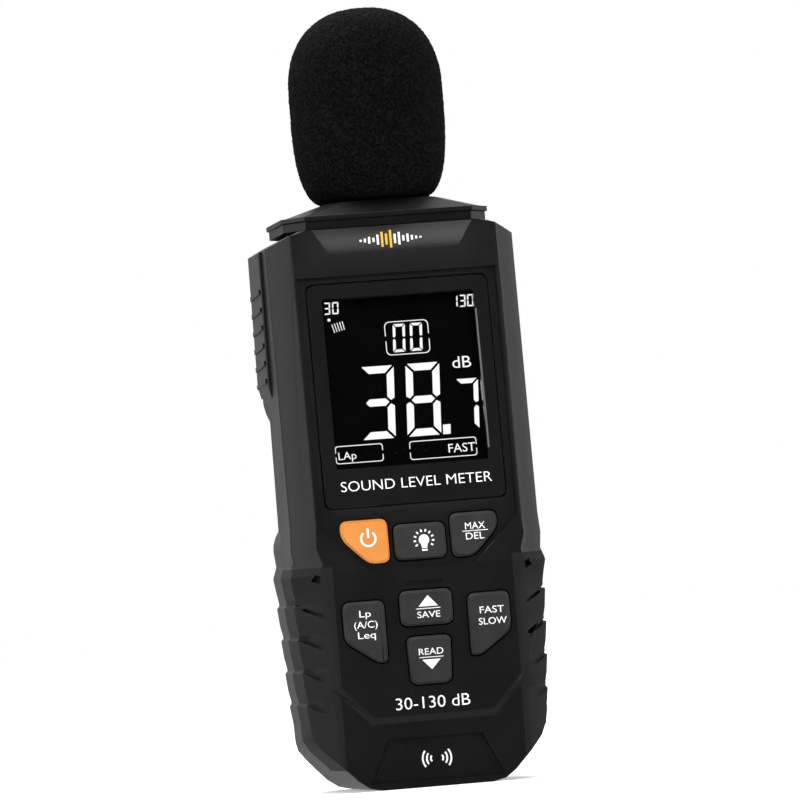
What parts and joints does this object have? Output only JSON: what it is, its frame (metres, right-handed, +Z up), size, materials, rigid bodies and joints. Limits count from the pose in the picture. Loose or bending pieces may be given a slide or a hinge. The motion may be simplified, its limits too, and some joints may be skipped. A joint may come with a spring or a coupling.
{
  "type": "sound level meter",
  "caption": "Hand-held sound level meter with a foam windscreen, tilted display window, rubber keypad, shaped grip and a battery door on its back.",
  "frame": {"origin": "under the middle of the bounding box, on the flat bottom of the casing", "axes": "+Z up along the meter to its microphone, -Y out of the keypad face, +X to the right as the keypad is seen"},
  "size_m": [0.0628, 0.042, 0.1879],
  "materials": {
    "case_plastic": "fine-textured black ABS",
    "cap_plastic": "satin black ABS",
    "lens": "polished black acrylic with a clear display area",
    "lcd_glass": "polished display glass",
    "white_plastic": "white light-guide plastic",
    "key_rubber": "soft dark grey silicone",
    "orange_rubber": "soft orange silicone",
    "steel": "plated steel",
    "board": "green solder mask",
    "chip_plastic": "moulded black resin",
    "lead_jacket": "black PVC",
    "foam": "open-cell black foam",
    "cell_label": "printed sleeve with steel ends",
    "contact_metal": "nickel-plated strip",
    "brass": "turned brass"
  },
  "bodies": {
    "casing": {"front_shell": "case_plastic", "rear_shell": "case_plastic", "top_cap": "cap_plastic", "mic_tube": "cap_plastic", "display_lens": "lens", "lcd_glass": "lcd_glass", "lcd_frame": "white_plastic", "backlight_panel": "white_plastic", "keypad_mat": "key_rubber", "mic_gasket": "key_rubber", "dome_switch_1": "steel", "dome_switch_2": "steel", "dome_switch_3": "steel", "dome_switch_4": "steel", "dome_switch_5": "steel", "dome_switch_6": "steel", "dome_switch_7": "steel", "case_screw_1": "steel", "case_screw_2": "steel", "case_screw_3": "steel", "case_screw_4": "steel", "board_screw_1": "steel", "board_screw_2": "steel", "battery_spring_1": "steel", "battery_spring_2": "steel", "battery_spring_3": "steel", "mic_capsule": "steel", "mic_grid": "steel", "key_board": "board", "main_board": "board", "processor_chip": "chip_plastic", "amplifier_chip": "chip_plastic", "board_header": "chip_plastic", "mic_lead": "lead_jacket", "battery_1": "cell_label", "battery_2": "cell_label", "battery_3": "cell_label", "spring_plate": "contact_metal", "button_plate": "contact_metal", "tripod_insert": "brass"},
    "key_power": {"key_power": "orange_rubber"},
    "key_light": {"key_light": "key_rubber"},
    "key_max": {"key_max": "key_rubber"},
    "key_mode": {"key_mode": "key_rubber"},
    "key_up_save": {"key_up_save": "key_rubber"},
    "key_response": {"key_response": "key_rubber"},
    "key_down_read": {"key_down_read": "key_rubber"},
    "windscreen": {"foam_windscreen": "foam"},
    "door": {"battery_door": "case_plastic"}
  },
  "joints": [
    {"name": "key_power_press", "type": "slide", "parent": "casing", "child": "key_power", "axis": [0, 1, 0], "range_m": [0, 0.0007], "stiffness_N_per_m": 600, "springref_m": -0.0005},
    {"name": "key_light_press", "type": "slide", "parent": "casing", "child": "key_light", "axis": [0, 1, 0], "range_m": [0, 0.0007], "stiffness_N_per_m": 600, "springref_m": -0.0005},
    {"name": "key_max_press", "type": "slide", "parent": "casing", "child": "key_max", "axis": [0, 1, 0], "range_m": [0, 0.0007], "stiffness_N_per_m": 600, "springref_m": -0.0005},
    {"name": "key_mode_press", "type": "slide", "parent": "casing", "child": "key_mode", "axis": [0, 1, 0], "range_m": [0, 0.0007], "stiffness_N_per_m": 600, "springref_m": -0.0005},
    {"name": "key_up_save_press", "type": "slide", "parent": "casing", "child": "key_up_save", "axis": [0, 1, 0], "range_m": [0, 0.0007], "stiffness_N_per_m": 600, "springref_m": -0.0005},
    {"name": "key_response_press", "type": "slide", "parent": "casing", "child": "key_response", "axis": [0, 1, 0], "range_m": [0, 0.0007], "stiffness_N_per_m": 600, "springref_m": -0.0005},
    {"name": "key_down_read_press", "type": "slide", "parent": "casing", "child": "key_down_read", "axis": [0, 1, 0], "range_m": [0, 0.0007], "stiffness_N_per_m": 600, "springref_m": -0.0005},
    {"name": "windscreen_pull", "type": "slide", "parent": "casing", "child": "windscreen", "axis": [0, 0, 1], "range_m": [0, 0.04]},
    {"name": "battery_door_hinge", "type": "hinge", "parent": "casing", "child": "door", "pos_m": [0, 0.01575, 0.0058], "axis": [-1, 0, 0], "range_deg": [0, 75]}
  ]
}
